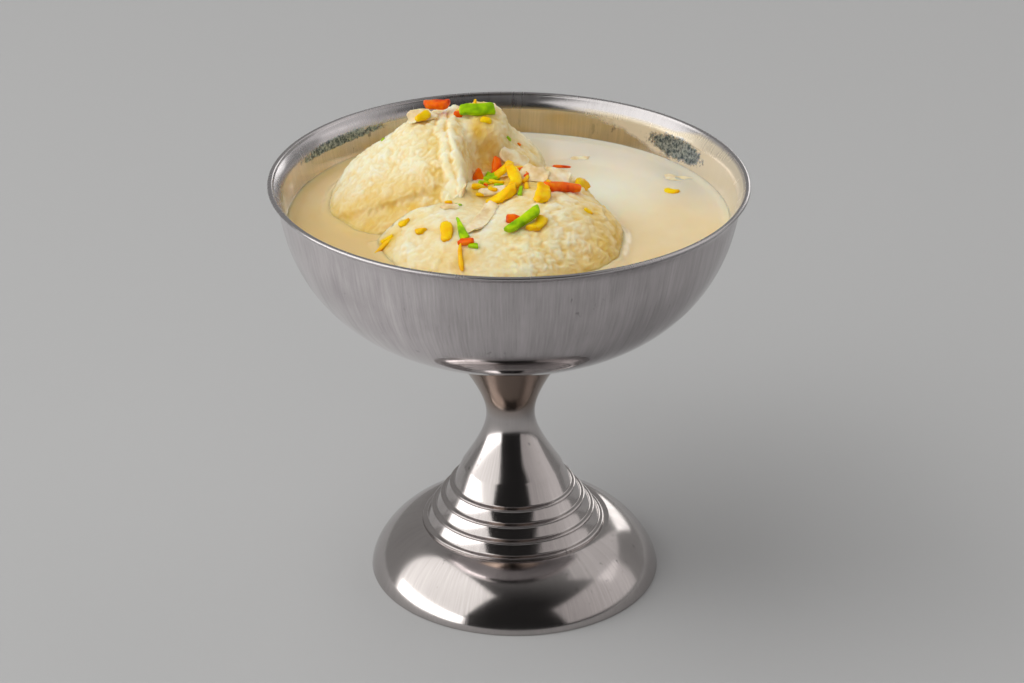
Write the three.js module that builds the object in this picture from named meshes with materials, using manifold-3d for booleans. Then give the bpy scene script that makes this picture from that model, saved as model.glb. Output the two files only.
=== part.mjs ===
// Rasmalai served in a footed steel dessert cup: two soft cheese dumplings in sweet
// saffron milk, strewn with slivered nuts, candied peel and saffron.
// Millimetres, +Z up. The origin is the middle of the foot's flat base, -Y is the near side.
import * as THREE from 'three';
import { mergeVertices } from 'three/addons/utils/BufferGeometryUtils.js';
import Module from 'manifold-3d';

const wasm = await Module();
wasm.setup();

// Driving dimensions of the cup
const rimHeight = 88.1;
const bowlRadius = 46.15;
const bowlDepth = 34.5;
const depthPower = 2.05;
const planPower = 2.85;
const rimFlare = 0.6;
const flareDepth = 8;
const lipFlare = 1.7;
const lipDepth = 3.2;
const edgeHeight = 0.4;
const steelWall = 1.1;
const neckRadius = 5.05;
const neckHeight = 35.8;
const ringCount = 4;
const firstRing = new THREE.Vector2(13.2, 19.55);
const ringStep = new THREE.Vector2(1.95, -2.7);
const flangeInner = 19.15;
const flangeHeight = 11.35;
const flangePower = 1.56;
const footRadius = 30.2;
const footEdge = 1.5;
const seatRadius = 13.4;
const footLean = 1.45;
const leanHeight = 52;

// Driving dimensions of the food
const milkLevel = 79.6;
const gap = 0.3;
const biteGap = 0.55;
const restGap = 1.5;
const roomGap = 0.45;

// Facets round each turned piece, down the bowl's wall, lip and edge, and over each dumpling
const bowlFacets = 42;
const footFacets = 34;
const milkFacets = 40;
const wallSteps = { outside: 10, inside: 9, milk: 8 };
const lipSteps = 3;
const edgeSteps = 4;
const dumplingFacets = { around: 40, over: 18 };

// Plain measures

const clamp01 = (x) => Math.min(Math.max(x, 0), 1);
const ease = (x) => clamp01(x) ** 2 * (3 - 2 * clamp01(x));
const bell = (x, width) => Math.exp(-((x / width) ** 2));
const degrees = THREE.MathUtils.degToRad;
const point = (x, y, z) => new THREE.Vector3(x, y, z);

// Closed bodies

function weld(geometry) {
  geometry.deleteAttribute('normal');
  geometry.deleteAttribute('uv');
  const merged = mergeVertices(geometry, 1e-4);
  const corners = merged.index.array;
  const kept = [];
  for (let i = 0; i < corners.length; i += 3) {
    const [a, b, c] = corners.slice(i, i + 3);
    if (a !== b && b !== c && c !== a) kept.push(a, b, c);
  }
  merged.setIndex(kept);
  return merged;
}

function toSolid(geometry) {
  const vertProperties = new Float32Array(geometry.attributes.position.array);
  const triVerts = new Uint32Array(geometry.index.array);
  return new wasm.Manifold(new wasm.Mesh({ numProp: 3, vertProperties, triVerts }));
}

function toGeometry(solid) {
  const mesh = solid.getMesh();
  const geometry = new THREE.BufferGeometry();
  const position = new THREE.BufferAttribute(new Float32Array(mesh.vertProperties), 3);
  geometry.setAttribute('position', position);
  geometry.setIndex([...mesh.triVerts]);
  return geometry;
}

// A turned body from its section, which starts and ends on the axis or closes on itself
function turned(section, facets) {
  const geometry = new THREE.LatheGeometry(section, facets);
  geometry.rotateX(Math.PI / 2);
  return weld(geometry);
}

// The steel cup

// The radius of the bowl's surface at a depth below the rim, set in from the outside
function bowlRadiusAt(depth, inset) {
  const share = clamp01(depth / (bowlDepth - inset));
  const flare = rimFlare * clamp01(1 - depth / flareDepth) ** 2;
  const lip = lipFlare * clamp01(1 - depth / lipDepth) ** 2;
  return (bowlRadius - inset) * (1 - share ** depthPower) ** (1 / planPower) + flare + lip;
}

// Points down the bowl's wall from one depth to the bottom, close together in the lip and
// where the wall curves
function bowlWall(inset, startDepth, steps) {
  const deepest = bowlDepth - inset;
  const depths = [];
  for (let i = 0; i < lipSteps && startDepth < lipDepth; i += 1) {
    depths.push(startDepth + ((lipDepth - startDepth) * i) / lipSteps);
  }
  const start = Math.asin(Math.max(startDepth, lipDepth) / deepest);
  for (let i = 0; i <= steps; i += 1) {
    depths.push(deepest * Math.sin(start + ((Math.PI / 2 - start) * i) / steps));
  }
  const points = depths.map((depth) => new THREE.Vector2(bowlRadiusAt(depth, inset), rimHeight - depth));
  points.at(-1).x = 0;
  return points;
}

// The wall flares out at the top and ends in a rounded edge
function bowl() {
  const outside = bowlWall(0, edgeHeight, wallSteps.outside).reverse();
  const inside = bowlWall(steelWall, edgeHeight, wallSteps.inside);
  const half = (outside.at(-1).x - inside[0].x) / 2;
  const edge = [];
  for (let i = 1; i < edgeSteps; i += 1) {
    const turn = (Math.PI * i) / edgeSteps;
    const height = rimHeight - edgeHeight * (1 - Math.sin(turn));
    edge.push(new THREE.Vector2(inside[0].x + half * (1 + Math.cos(turn)), height));
  }
  return turned([...outside, ...edge, ...inside], bowlFacets);
}

// The stem is a hyperboloid about its neck, a little wider below the neck than above it
function stemRadius(height) {
  const slope = height > neckHeight ? 0.73 : 0.76;
  return Math.hypot(neckRadius, slope * (height - neckHeight));
}

function foot() {
  const section = [];
  const at = (x, y) => section.push(new THREE.Vector2(x, y));
  at(0, rimHeight - bowlDepth - gap);
  for (const radius of [5, seatRadius]) {
    const depth = bowlDepth * (1 - (radius / bowlRadius) ** planPower) ** (1 / depthPower);
    at(radius, rimHeight - depth - gap);
  }
  for (const height of [52.8, 50.8, 48.6, 45.6, 42.6, 39.6, 37.4, 34.8, 32, 29.2, 26.4, 23.7]) {
    at(stemRadius(height), height);
  }
  // Each ring is a slanting riser that ends in a narrow ledge
  for (let ring = 0; ring < ringCount; ring += 1) {
    const edge = firstRing.clone().addScaledVector(ringStep, ring);
    at(edge.x - 1, edge.y + 0.15);
    at(edge.x - 0.15, edge.y + 0.05);
    at(edge.x, edge.y - 0.15);
  }
  const reach = footRadius - flangeInner;
  for (const height of [11, 10.4, 9.4, 8.2, 6.8, 5.2, 3.6, 1.9, 0.6]) {
    const share = (1 - (height / flangeHeight) ** flangePower) ** (1 / flangePower);
    at(flangeInner + reach * share, height);
  }
  at(footRadius - 0.15, 0);
  at(footRadius - footEdge, 0);
  // The hollow underside, open below and closed at the stem
  const hollow = [
    [27.7, 3], [26, 5.8], [23.6, 7.8], [18.2, 8.8], [14.4, 14], [10.4, 19.6], [6.5, 24.6], [0, 27.5],
  ];
  for (const [x, y] of hollow) at(x, y);
  return leaning(turned(section.reverse(), footFacets));
}

// The base stands a little to the right of the bowl, so the foot leans evenly up to it
function leaning(geometry) {
  const place = geometry.attributes.position;
  for (let i = 0; i < place.count; i += 1) {
    place.setX(i, place.getX(i) + footLean * (1 - place.getZ(i) / leanHeight));
  }
  return geometry;
}

// The dumplings

// The same draws every time, from a linear congruential rule
function* draws(seed) {
  let state = seed;
  for (;;) {
    state = (state * 1664525 + 1013904223) % 4294967296;
    yield state / 4294967296;
  }
}

const hump = (p, [x, y, z], radius, height) =>
  height * Math.exp(-p.distanceToSquared(point(x, y, z)) / (2 * radius ** 2));

// The larger of two distances, rounded off over a blend width where they meet
function blendMax(a, b, width) {
  const share = clamp01(0.5 + (a - b) / (2 * width));
  return b + (a - b) * share + width * share * (1 - share);
}

// About the distance from the inside of the bowl that the soft cheese rests against
function bowlDistance(p) {
  const inset = steelWall + restGap;
  const wide = Math.hypot(p.x, p.y) / (bowlRadius - inset);
  const deep = Math.max(rimHeight - p.z, 0) / (bowlDepth - inset);
  return ((wide ** planPower + deep ** depthPower) ** (2 / (planPower + depthPower)) - 1) * bowlDepth;
}

// A pressed ball of fresh cheese: where it lies, its half sizes and how it is turned
class Patty {
  constructor({ centre, half, yaw, lift, lumpSeed, lumpCount, lumpHeight }) {
    this.centre = point(...centre);
    this.half = point(...half);
    this.turn = new THREE.Quaternion().setFromEuler(new THREE.Euler(0, -lift, yaw, 'ZYX'));
    this.back = this.turn.clone().invert();
    this.least = Math.min(...half);
    this.lumps = this.scatter(draws(lumpSeed), lumpCount, lumpHeight);
  }

  // A point of the skin from a unit direction, before the relief
  reach(direction) {
    return direction.clone().multiply(this.half).applyQuaternion(this.turn);
  }

  scatter(draw, count, tallest) {
    const lumps = [];
    for (let i = 0; i < count; i += 1) {
      const angle = 2 * Math.PI * draw.next().value;
      const w = 2 * draw.next().value - 1;
      const r = Math.sqrt(1 - w * w);
      const place = this.reach(point(r * Math.cos(angle), r * Math.sin(angle), w)).add(this.centre);
      const radius = 1.8 + 2.4 * draw.next().value;
      const height = tallest * (2 * draw.next().value - 1);
      lumps.push({ place: place.toArray(), radius, height });
    }
    return lumps;
  }

  // About the distance from the plain patty's skin, below zero inside
  plain(p) {
    const q = p.clone().sub(this.centre).applyQuaternion(this.back).divide(this.half);
    const plan = Math.hypot(q.x, q.y);
    return ((plan ** 2.2 + Math.abs(q.z) ** 2.2) ** (1 / 2.2) - 1) * this.least;
  }

  // The skin as a closed mesh, found along rays from the centre and grown by a little
  skin(distance, grow) {
    const { around, over } = dumplingFacets;
    const position = [];
    const index = [];
    const add = (p) => position.push(...p.toArray()) / 3 - 1;
    const onSkin = (polar, angle) => {
      const unit = new THREE.Vector3().setFromSphericalCoords(1, polar, angle);
      const ray = this.reach(point(unit.z, unit.x, unit.y));
      let inside = 0;
      while (distance(ray.clone().multiplyScalar(inside + 0.04).add(this.centre)) < 0) inside += 0.04;
      let outside = inside + 0.04;
      for (let i = 0; i < 12; i += 1) {
        const middle = (inside + outside) / 2;
        if (distance(ray.clone().multiplyScalar(middle).add(this.centre)) < 0) inside = middle;
        else outside = middle;
      }
      const p = ray.clone().multiplyScalar(inside).add(this.centre);
      let rise = grow;
      for (const { place, radius, height } of this.lumps) rise += hump(p, place, radius, height);
      return p.addScaledVector(ray.normalize(), rise);
    };
    add(onSkin(0, 0));
    for (let j = 1; j < over; j += 1) {
      for (let i = 0; i < around; i += 1) add(onSkin((Math.PI * j) / over, (2 * Math.PI * i) / around));
    }
    const last = add(onSkin(Math.PI, 0));
    for (let i = 0; i < around; i += 1) {
      const next = (i + 1) % around;
      index.push(0, 1 + i, 1 + next);
      for (let j = 0; j < over - 2; j += 1) {
        const upper = 1 + j * around;
        const lower = upper + around;
        index.push(upper + i, lower + i, lower + next, upper + i, lower + next, upper + next);
      }
      const ring = 1 + (over - 2) * around;
      index.push(ring + i, last, ring + next);
    }
    const geometry = new THREE.BufferGeometry();
    geometry.setAttribute('position', new THREE.Float32BufferAttribute(position, 3));
    geometry.setIndex(index);
    return geometry;
  }
}

const back = new Patty({
  centre: [-15.6, 9.8, 75.5], half: [26.7, 20.7, 16.6], yaw: 0.79, lift: 0.506,
  lumpSeed: 7, lumpCount: 90, lumpHeight: 0.55,
});
const front = new Patty({
  centre: [-2.6, -10, 76.3], half: [25.2, 25.5, 11], yaw: 0, lift: 0.05,
  lumpSeed: 11, lumpCount: 120, lumpHeight: 0.7,
});

// The rear dumpling has a steep ridge down its near side, with the cheese set back to the
// right of it, and a crack round the pressed edge at its lower left with a rib below it
function backDistance(p) {
  const side = p.x + 7.8 + 0.026 * (p.z - 85) ** 2;
  const near = ease((26 - p.y) / 10);
  const setBack = 6 * near * ease((97 - p.z) / 12) * bell(Math.max(side, 0), 11) * ease(side / 1.6 + 0.5);
  const ridge = 1.3 * near * bell(side + 1.6, 2) * ease((97 - p.z) / 8) * ease((p.z - 80) / 4);
  const crack = p.z - 80.9 - Math.min(0.34 * (p.x + 31), 5);
  const nearLeft = ease((10 - p.y) / 8) * ease((-13 - p.x) / 6) * ease((p.x + 38) / 5);
  const body = back.plain(p) + setBack - ridge
    + nearLeft * (0.8 * bell(crack, 1.1) - 0.7 * bell(crack + 2.4, 1.5))
    - hump(p, [-20, 15, 94], 3.5, 1.2) - hump(p, [-34, -3, 79], 6, 1.8)
    - hump(p, [-4, 20, 95.5], 3.5, 1.2) - hump(p, [6, 20, 82], 5, 1.2)
    + hump(p, [-12, 14, 96.5], 4, 0.6) + hump(p, [-26, 20, 89.5], 4, 0.8)
    + hump(p, [2, 23, 92], 4, 0.8);
  return blendMax(body, bowlDistance(p), 3);
}

// The near dumpling lies flat and low in the milk, pressed in where the other leans on it
function frontDistance(p) {
  const body = front.plain(p)
    - hump(p, [9, -13, 86], 8, 1.2) - hump(p, [-14, -13, 86], 6, 0.9)
    - hump(p, [-10, -3.5, 86.5], 3, 1.6) - hump(p, [9, 6, 86], 6, 2.4)
    + hump(p, [-3, -9, 87], 3, 0.9) + hump(p, [-6, -16, 87], 3, 0.8);
  return Math.max(blendMax(body, bowlDistance(p), 3), biteGap - backDistance(p));
}

// The toppings

const thickness = { nut: 1.3, peel: 1.4, almond: 0.8, saffron: 0.6 };

// On each dumpling: kind, x, y, heading in degrees, length, width and lean in degrees
const onBack = [
  ['almond', -17.9, 15.6, 20, 5.8, 3.8, 0],
  ['peel', -17.5, 14.6, 42, 3.4, 1.5, 0],
  ['peel', -14.9, 19, -6, 4.8, 2.3, 0],
  ['peel', -10.4, 16.9, -5, 1.7, 1.8, 0],
  ['nut', -6.4, 16.4, 1, 7.2, 2.5, 0],
  ['peel', -4.7, 14.2, -18, 2.3, 1.6, 0],
  ['almond', 0.8, 11.8, 12, 6.6, 3.4, 0],
  ['peel', -2.6, 9.6, 88, 3.2, 2.2, 10],
  ['peel', -6, 5.8, -24, 3.8, 2.8, 0],
  ['peel', 1.9, 10.6, 28, 3, 1, 0],
  ['peel', 5.6, 12.6, -24, 4.2, 2.2, 0],
];
const onFront = [
  ['nut', -3.3, 2.2, 38, 3.4, 1.9, 8],
  ['peel', -0.7, 3.8, 48, 5.4, 2.1, 18],
  ['peel', 1.2, -1.6, 98, 7.8, 2.5, 12],
  ['peel', -0.8, -7.6, 24, 6.2, 2.7, 0],
  ['almond', -3.4, -4.4, 20, 5.6, 2.7, 0],
  ['peel', -5.4, -5.8, 18, 2.4, 1, 0],
  ['nut', 2.3, -6.9, 80, 2.6, 0.9, 12],
  ['peel', -2.6, -0.4, -10, 3.2, 1.2, 0],
  ['peel', 3.4, -1.6, 60, 2.6, 1.1, 10],
  ['peel', 3.5, -4.2, 88, 2.4, 1.1, 15],
  ['almond', 4.9, 0.2, -12, 6.2, 4.8, 0],
  ['almond', 9.9, 0.6, 2, 5, 4.4, 0],
  ['nut', 11.3, 3.6, -24, 2, 0.8, 0],
  ['peel', 14.3, 1.6, 0, 3.1, 2.9, 0],
  ['peel', 6.6, -10.2, 84, 5, 3.4, 15],
  ['peel', 10.4, -5.4, 17, 7.8, 2, 0],
  ['peel', 19.3, 0.6, -30, 2.4, 0.7, 0],
  ['peel', 15.4, -12.6, -12, 2, 1, 0],
  ['peel', 1, -19.2, -8, 3.2, 1.9, 0],
  ['peel', 5.8, -20.6, 62, 5.4, 2.5, 0],
  ['nut', 2.9, -21, 40, 8.2, 1.6, 6],
  ['almond', -4.4, -16.8, 73, 12.8, 2.7, 0],
  ['peel', -11.9, -21.4, 90, 5.6, 2.4, 10],
  ['nut', -9.2, -21, 104, 6.4, 2.3, 8],
  ['peel', -8, -25.6, -16, 2.9, 1.5, 0],
  ['saffron', -9.2, -29, -86, 6.6, 0.8, 0],
  ['peel', -20.4, -13.8, -30, 2.2, 1.9, 0],
  ['peel', -17.1, -19.1, -20, 2.1, 1.7, 0],
  ['peel', -23.6, -15.9, 10, 2.8, 1.3, 0],
  ['saffron', -24.4, -17.4, 32, 6, 1, 0],
  ['almond', -11.4, -11.6, 0, 4.2, 2.4, 0],
  ['almond', -8.9, -6.6, 5, 3.7, 3.2, 0],
];
// In the milk, right of the dumplings
const onMilk = [
  ['peel', 33.3, 13.1, 2, 3, 2, 0],
  ['almond', 34.6, 20.6, -18, 6.4, 3.2, 0],
  ['saffron', 29.8, 1.2, 4, 2.6, 1, 0],
  ['peel', 10.9, 26, -6, 3.8, 0.9, 0],
  ['almond', 14.6, 31, 4, 5, 2.6, 0],
];

// A sliver or flake with blunt ends, flat on X and Y about its own middle
function chip(kind, length, width, depth) {
  const sides = kind === 'almond' ? 8 : 6;
  const squareness = kind === 'almond' ? 1 : 0.7;
  const shape = new THREE.Shape();
  for (let i = 0; i < sides; i += 1) {
    const a = (2 * Math.PI * (i + 0.5)) / sides;
    const [c, s] = [Math.cos(a), Math.sin(a)].map((v) => Math.sign(v) * Math.abs(v) ** squareness);
    if (i === 0) shape.moveTo((c * length) / 2, (s * width) / 2);
    else shape.lineTo((c * length) / 2, (s * width) / 2);
  }
  const geometry = new THREE.ExtrudeGeometry(shape, { depth, bevelEnabled: false });
  return geometry.translate(0, 0, -depth / 2);
}

// Lays a topping on what is under it, tilted as the surface is between its ends and sides
function lay(carrier, [kind, x, y, heading, length, width, lean], grow = 0) {
  const target = new THREE.Mesh(carrier, new THREE.MeshStandardMaterial({ side: THREE.DoubleSide }));
  const down = new THREE.Raycaster();
  const ground = (px, py) => {
    down.set(point(px, py, 200), point(0, 0, -1));
    const hits = down.intersectObject(target);
    return hits.length ? hits[0].point : point(px, py, milkLevel);
  };
  const a = degrees(heading);
  const along = point(Math.cos(a), Math.sin(a), 0);
  const across = point(-along.y, along.x, 0);
  const reach = (way, by) => ground(x + way.x * by, y + way.y * by);
  const xAxis = reach(along, length * 0.35).sub(reach(along, -length * 0.35)).normalize();
  const slope = reach(across, width * 0.4 + 0.3).sub(reach(across, -width * 0.4 - 0.3));
  const zAxis = xAxis.clone().cross(slope).normalize();
  const yAxis = zAxis.clone().cross(xAxis);
  const placed = new THREE.Matrix4().makeBasis(xAxis, yAxis, zAxis);
  placed.setPosition(ground(x, y).addScaledVector(zAxis, thickness[kind] * 0.15));
  const geometry = chip(kind, length + 2 * grow, width + 2 * grow, thickness[kind] + 2 * grow);
  geometry.rotateY(-degrees(lean)).applyMatrix4(placed);
  return toSolid(weld(geometry));
}

// Fuses toppings, grown by a little, to a solid, where they lie on a carrier
function strew(solid, carrier, toppings, grow = 0) {
  return toppings.reduce((sum, topping) => sum.add(lay(carrier, topping, grow)), solid);
}

// The largest body of a solid, without any loose scrap
function whole(solid) {
  const bodies = solid.decompose();
  return bodies.reduce((best, body) => (body.volume() > best.volume() ? body : best));
}

// A dumpling with its toppings, and the room that they take out of what lies round them
function dressed(patty, distance, toppings) {
  const skin = patty.skin(distance, 0);
  return {
    solid: strew(toSolid(skin), skin, toppings),
    room: strew(toSolid(patty.skin(distance, roomGap)), skin, toppings, gap),
  };
}

const rear = dressed(back, backDistance, onBack);
const near = dressed(front, frontDistance, onFront);
const backSolid = whole(rear.solid);
const frontSolid = whole(near.solid.subtract(rear.room));

function milk() {
  const wall = bowlWall(steelWall + gap, rimHeight - milkLevel, wallSteps.milk);
  const pool = toSolid(turned([...wall.reverse(), new THREE.Vector2(0, milkLevel)], milkFacets));
  const strewn = strew(pool, toGeometry(pool), onMilk);
  return toGeometry(whole(strewn.subtract(rear.room).subtract(near.room)));
}

// The whole, one named mesh for each piece

function piece(name, geometry, color, roughness, metalness) {
  const material = new THREE.MeshStandardMaterial({ color, roughness, metalness });
  const mesh = new THREE.Mesh(geometry, material);
  mesh.name = name;
  return mesh;
}

const rasmalai = new THREE.Group();
rasmalai.add(
  piece('bowl', bowl(), 0x9a9496, 0.25, 1),
  piece('foot', foot(), 0x9f999a, 0.18, 1),
  piece('milk', milk(), 0xe9ddb8, 0.2, 0),
  piece('dumpling_front', toGeometry(frontSolid), 0xf4ecc8, 0.45, 0),
  piece('dumpling_back', toGeometry(backSolid), 0xf1e7bd, 0.45, 0),
);

export default rasmalai;
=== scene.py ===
# Rasmalai in a footed steel dessert cup, dressed round its solid model.
# Lengths are millimetres until a mesh is made, and -Y is the near side.
import math
from dataclasses import dataclass

import bpy
import numpy as np
from mathutils import Matrix, Vector, noise
from mathutils.bvhtree import BVHTree


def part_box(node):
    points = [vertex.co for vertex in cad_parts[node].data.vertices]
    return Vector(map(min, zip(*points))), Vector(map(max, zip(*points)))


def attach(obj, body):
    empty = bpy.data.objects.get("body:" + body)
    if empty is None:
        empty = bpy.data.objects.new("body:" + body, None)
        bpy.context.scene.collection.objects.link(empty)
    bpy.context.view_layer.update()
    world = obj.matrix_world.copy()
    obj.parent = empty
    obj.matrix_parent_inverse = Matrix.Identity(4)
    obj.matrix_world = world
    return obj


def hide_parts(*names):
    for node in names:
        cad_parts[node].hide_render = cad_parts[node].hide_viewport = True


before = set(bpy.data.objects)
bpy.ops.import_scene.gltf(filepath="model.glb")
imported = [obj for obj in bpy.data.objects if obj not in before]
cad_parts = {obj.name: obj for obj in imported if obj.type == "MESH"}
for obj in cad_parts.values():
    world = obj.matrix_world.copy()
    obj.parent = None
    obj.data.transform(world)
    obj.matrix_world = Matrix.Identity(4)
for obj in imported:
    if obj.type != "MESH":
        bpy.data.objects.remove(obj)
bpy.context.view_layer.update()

MM = 0.001

# Driving dimensions of the cup, the same as in the solid model
RIM_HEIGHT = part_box("bowl")[1].z / MM
BOWL_RADIUS = 46.15
BOWL_DEPTH = 34.5
DEPTH_POWER = 2.05
PLAN_POWER = 2.85
RIM_FLARE = 0.6
FLARE_DEPTH = 8.0
LIP_FLARE = 1.7
LIP_DEPTH = 3.2
EDGE_HEIGHT = 0.4
STEEL_WALL = 1.1
NECK_RADIUS = 5.05
NECK_HEIGHT = 35.8
RING_COUNT = 4
FIRST_RING = np.array([13.2, 19.55])
RING_STEP = np.array([1.95, -2.7])
FLANGE_INNER = 19.15
FLANGE_HEIGHT = 11.35
FLANGE_POWER = 1.56
FOOT_RADIUS = 30.2
FOOT_EDGE = 1.5
SEAT_RADIUS = 13.4
FOOT_LEAN = 1.45
LEAN_HEIGHT = 52.0

# Driving dimensions of the food
MILK_LEVEL = 79.6
BITE_GAP = 0.15
REST_GAP = 0.9
FILL_INTO_WALL = 0.25

# Broad swellings of each dumpling, and hollows where the height is below zero: the place,
# how wide it is and its height
BACK_SWELLINGS = (
    ((-20, 15, 94), 3.5, 1.2),
    ((-34, -3, 79), 6, 1.8),
    ((-4, 20, 95.5), 3.5, 1.2),
    ((6, 20, 82), 5, 1.2),
    ((-12, 14, 96.5), 4, -0.6),
    ((-26, 20, 89.5), 4, -0.8),
    ((2, 23, 92), 4, -0.8),
)
FRONT_SWELLINGS = (
    ((9, -13, 86), 8, 1.2),
    ((-14, -13, 86), 6, 0.9),
    ((-10, -3.5, 86.5), 3, 1.6),
    ((9, 6, 86), 6, 2.4),
    ((-3, -9, 87), 3, -0.9),
    ((-6, -16, 87), 3, -0.8),
)

# How finely each surface is made
BOWL_STEPS = 256
WALL_STEPS = 64
LIP_STEPS = 13
EDGE_STEPS = 11
FOOT_STEPS = 224
FLANGE_STEPS = 40
STEM_STEPS = 56
SEAT_STEPS = 8
MILK_STEPS = 384
MILK_WALL_STEPS = 24
MILK_TOP_STEPS = 150
DUMPLING_GRID = 120
SKIN_STEP = 0.04
SKIN_HALVINGS = 10
SLIVER_RINGS = 17
SLIVER_SIDES = 20

# Marks, painted shade and painted reflections on the steel: angles in radians round from the
# right, heights in metres. Each patch of painted dark reflection has its middle, half width,
# height and half height.
# The angle that the painted shade on the bowl's outside is centred on
PAINTED_SHADE_SIDE = -0.35
FILM_SLOPE = 0.011
FILM_START = 0.0717
DARK_REFLECTION_PATCHES = ((0.67, 0.19, 0.0831, 0.0024), (2.5, 0.3, 0.0846, 0.0011))

# The middle of the painted highlight on the milk, in metres
PAINTED_HIGHLIGHT_PLACE = (0.018, 0.015, 0.0796)

# The view that was fitted to the photograph: a lens of about 99 mm, 0.56 m from the rim.
# Focal length and width are in pixels, pitch and roll in radians.
PHOTO_WIDTH = 1024
FOCAL_PIXELS = 2820
SENSOR_WIDTH = 36.0
CAMERA_PLACE = Vector((0.7, -518.2, 304.7))
CAMERA_PITCH = 0.454
CAMERA_ROLL = 0.004


# Plain measures


def clamp01(x):
    return np.clip(x, 0.0, 1.0)


def ease(x):
    t = clamp01(x)
    return t * t * (3 - 2 * t)


def bell(x, width):
    return np.exp(-((x / width) ** 2))


def hump(points, centre, radius, height):
    square = ((points - np.array(centre)) ** 2).sum(1)
    return height * np.exp(-square / (2 * radius**2))


def noise_at(points, size, shift=0.0):
    """Smooth noise of about -1 to 1 whose grains have the given size, or a size for each axis."""
    return np.array([noise.noise(q) for q in (points / size + shift).tolist()])


def curds_at(points, size, shift=0.0):
    """Rounded bumps of about the given size, from -1 to about 1, with narrow creases."""
    return 3.2 * np.abs(noise_at(points, size, shift)) - 1


def pits_at(points, size, shift=0.0):
    """1 at the middle of scattered cells of the given size, falling to 0 between them."""
    nearest = np.array([noise.voronoi(q)[0][0] for q in (points / size + shift).tolist()])
    return 1 - ease(nearest / 0.55)


# Meshes


def add_mesh(name, points, faces, *materials):
    mesh = bpy.data.meshes.new(name)
    mesh.from_pydata((np.asarray(points) * MM).tolist(), [], faces)
    for material in materials:
        mesh.materials.append(material)
    mesh.shade_smooth()
    piece = bpy.data.objects.new(name, mesh)
    bpy.context.scene.collection.objects.link(piece)
    return piece


def set_values(piece, name, values):
    """Keeps one number for each point, for the material to read."""
    attribute = piece.data.attributes.new(name, "FLOAT", "POINT")
    attribute.data.foreach_set("value", np.asarray(values, dtype=np.float32))


def turned(section, steps):
    """A closed turned surface from a section that starts and ends on the axis."""
    section = np.asarray(section)
    angles = np.arange(steps) * 2 * math.pi / steps
    ring = np.stack([np.cos(angles), np.sin(angles)], 1)
    points = [[[0, 0, section[0, 1]]]]
    for radius, height in section[1:-1]:
        points.append(np.hstack([ring * radius, np.full((steps, 1), height)]))
    points.append([[0, 0, section[-1, 1]]])
    around = [(i, (i + 1) % steps) for i in range(steps)]
    faces = [(0, 1 + j, 1 + i) for i, j in around]
    rings = len(section) - 2
    for k in range(rings - 1):
        low = 1 + k * steps
        high = low + steps
        faces.extend((low + i, low + j, high + j, high + i) for i, j in around)
    top = 1 + (rings - 1) * steps
    faces.extend((top + i, top + j, top + steps) for i, j in around)
    return np.vstack(points), faces


def rounded(corners, steps=5):
    """A line through corners (x, y, radius), each one rounded off."""
    line = [np.array(corners[0][:2])]
    for before, here, after in zip(corners, corners[1:], corners[2:]):
        corner = np.array(here[:2])
        back = np.array(before[:2]) - corner
        ahead = np.array(after[:2]) - corner
        reach = min(here[2], 0.45 * np.linalg.norm(back), 0.45 * np.linalg.norm(ahead))
        start = corner + back / np.linalg.norm(back) * reach
        end = corner + ahead / np.linalg.norm(ahead) * reach
        for t in np.linspace(0, 1, steps):
            line.append((1 - t) ** 2 * start + 2 * t * (1 - t) * corner + t**2 * end)
    line.append(np.array(corners[-1][:2]))
    return np.array(line)


# Materials


def colour(red, green, blue):
    """A linear colour from its screen values of 0 to 255."""
    values = (red / 255, green / 255, blue / 255)
    return tuple(v / 12.92 if v <= 0.04045 else ((v + 0.055) / 1.055) ** 2.4 for v in values)


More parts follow.
